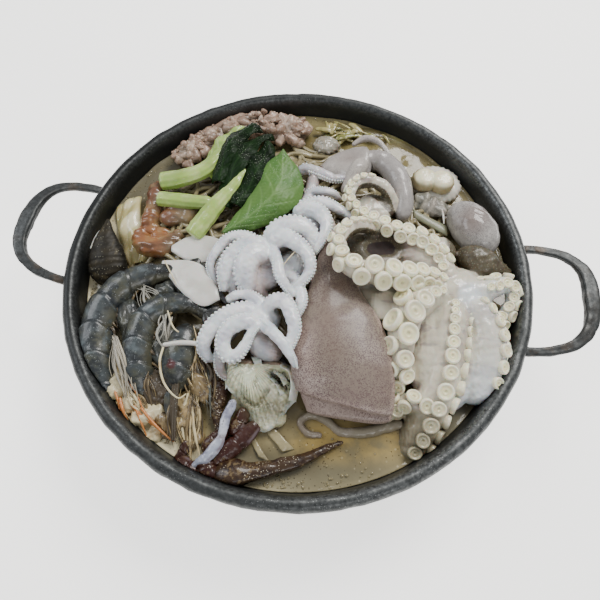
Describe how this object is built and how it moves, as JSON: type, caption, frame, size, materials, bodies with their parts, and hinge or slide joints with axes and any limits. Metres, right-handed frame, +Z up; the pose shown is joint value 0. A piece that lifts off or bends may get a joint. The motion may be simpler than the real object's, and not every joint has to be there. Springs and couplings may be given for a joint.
{
  "type": "pot of seafood noodle soup",
  "caption": "Wide cast-iron hot pot with two loop handles, full of broth and noodles heaped with octopus, squid, prawns, crab, shellfish and greens.",
  "frame": {"origin": "middle of the pot's flat base", "axes": "+X from the left handle to the right handle, +Y away from the viewer in the picture, +Z up"},
  "size_m": [0.452, 0.36, 0.1125],
  "materials": {
    "iron": "worn seasoned cast iron",
    "soup": "cloudy broth, wet",
    "noodle": "boiled noodle, wet",
    "octopus": "raw octopus, wet",
    "baby": "small octopus, wet",
    "squid": "speckled squid skin, wet",
    "pale_squid": "pale squid skin, wet",
    "prawn": "prawn shell, wet",
    "crab_flesh": "crab flesh, wet",
    "crab_shell": "mottled crab shell",
    "pale_pearl": "pearly crab shell",
    "leaf_dark": "dark leaf",
    "leaf_pale": "pale leaf",
    "stem": "juicy stalk",
    "white": "wet white slice",
    "cream": "wet cream-coloured food",
    "orange": "orange-brown skin, wet",
    "meat": "minced meat",
    "mussel": "mussel shell"
  },
  "bodies": {
    "root": {"pot_body": "iron", "handle_left": "iron", "handle_right": "iron", "noodle_bed": "noodle", "octopus": "octopus", "baby_octopus_upper": "baby", "baby_octopus_lower": "baby", "squid_mantle": "squid", "leaf_pale": "leaf_pale", "leaf_dark": "leaf_dark", "leaf_rear": "stem", "stalk": "stem", "slice_lower": "white", "slice_upper": "white", "octopus_head": "pale_squid", "squid_small": "pale_squid", "scallop": "cream", "scallop_shell": "white", "scallop_skirt": "pale_squid", "green_strip": "stem", "sprout": "white", "prawn_inner": "prawn", "prawn_short": "prawn", "prawn_outer": "prawn", "crab_claw": "crab_shell", "crab_leg_back": "crab_shell", "crab_leg_middle": "crab_shell", "crab_leg_pale": "pale_pearl", "crab_leg_tip": "crab_shell", "crab_leg_short": "crab_shell", "crab_leg_front": "crab_shell", "crab_body": "crab_flesh", "mussel": "mussel", "sea_squirt_long": "orange", "sea_squirt_round": "orange", "sea_squirt_low": "orange", "cabbage_piece": "cream", "minced_meat": "meat", "oyster": "pale_squid", "back_greens": "cream", "tentacle": "pale_squid", "noodle_left": "noodle", "noodle_right": "noodle", "soup": "soup"}
  },
  "joints": []
}
